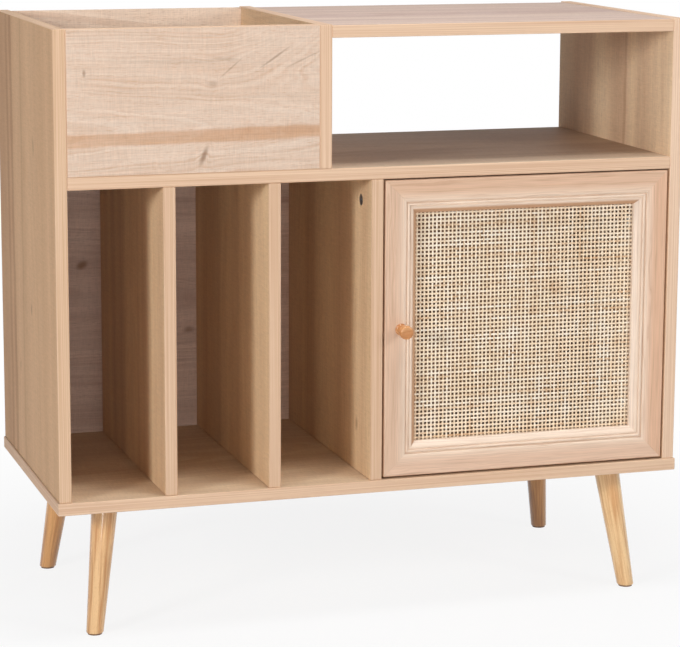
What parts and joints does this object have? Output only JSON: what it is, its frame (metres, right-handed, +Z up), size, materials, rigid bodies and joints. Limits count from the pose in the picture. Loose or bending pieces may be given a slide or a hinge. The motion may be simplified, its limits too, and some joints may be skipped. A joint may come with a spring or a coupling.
{
  "type": "record cabinet",
  "caption": "Oak-faced record cabinet on splayed turned legs, with an open-top record bin, upright record slots, an open compartment and a cane-panelled door.",
  "frame": {"origin": "on the floor, under the middle of the overall box, the knob included", "axes": "+X to the viewer's right, +Y from the front to the back, +Z up"},
  "size_m": [0.854, 0.4146, 0.785],
  "materials": {
    "oak_board": "oak-print melamine, matt",
    "oak_side": "oak-print melamine, matt, upright grain",
    "oak_moulding": "foil-wrapped moulding, satin",
    "hardboard": "printed hardboard, matt",
    "cane": "natural cane webbing",
    "beech": "clear satin lacquer",
    "nickel": "nickel-plated steel",
    "zinc": "zinc die casting",
    "black_steel": "black powder coat",
    "plastic": "brown moulded plastic"
  },
  "bodies": {
    "cabinet": {"bottom_board": "oak_board", "side_panel_left": "oak_side", "side_panel_right": "oak_side", "mid_shelf": "oak_board", "top_board": "oak_board", "door_divider": "oak_board", "slot_divider_1": "oak_board", "slot_divider_2": "oak_board", "bin_divider": "oak_board", "bin_front_panel": "oak_board", "lower_back_panel": "hardboard", "bin_back_panel": "hardboard", "cam_door_divider_front": "zinc", "cam_door_divider_rear": "zinc", "cam_slot_divider_1_front": "zinc", "cam_slot_divider_1_rear": "zinc", "cam_slot_divider_2_front": "zinc", "cam_slot_divider_2_rear": "zinc", "cam_mid_shelf_left_front": "zinc", "cam_mid_shelf_left_rear": "zinc", "cam_mid_shelf_right_front": "zinc", "cam_mid_shelf_right_rear": "zinc", "cam_top_board_left_front": "zinc", "cam_top_board_left_rear": "zinc", "cam_top_board_right_front": "zinc", "cam_top_board_right_rear": "zinc", "leg_front_left": "beech", "leg_front_right": "beech", "leg_rear_left": "beech", "leg_rear_right": "beech", "leg_plate_front_left": "black_steel", "leg_plate_front_right": "black_steel", "leg_plate_rear_left": "black_steel", "leg_plate_rear_right": "black_steel", "leg_glide_front_left": "plastic", "leg_glide_front_right": "plastic", "leg_glide_rear_left": "plastic", "leg_glide_rear_right": "plastic", "hinge_arm_lower": "nickel", "hinge_arm_upper": "nickel", "hinge_plate_lower": "nickel", "hinge_plate_upper": "nickel", "catch_case": "plastic"},
    "door": {"door_rail_bottom": "oak_moulding", "door_rail_top": "oak_moulding", "door_stile_left": "oak_moulding", "door_stile_right": "oak_moulding", "cane_panel": "cane", "cane_strip_bottom": "oak_moulding", "cane_strip_top": "oak_moulding", "cane_strip_left": "oak_moulding", "cane_strip_right": "oak_moulding", "door_knob": "beech", "knob_screw": "zinc", "catch_strike": "zinc", "hinge_cup_lower": "nickel", "hinge_cup_upper": "nickel", "hinge_pin_lower": "nickel", "hinge_pin_upper": "nickel"}
  },
  "joints": [
    {"name": "door_hinge", "type": "hinge", "parent": "cabinet", "child": "door", "pos_m": [0.3855, -0.1728, 0.385], "axis": [0, 0, 1], "range_deg": [0, 100]}
  ]
}
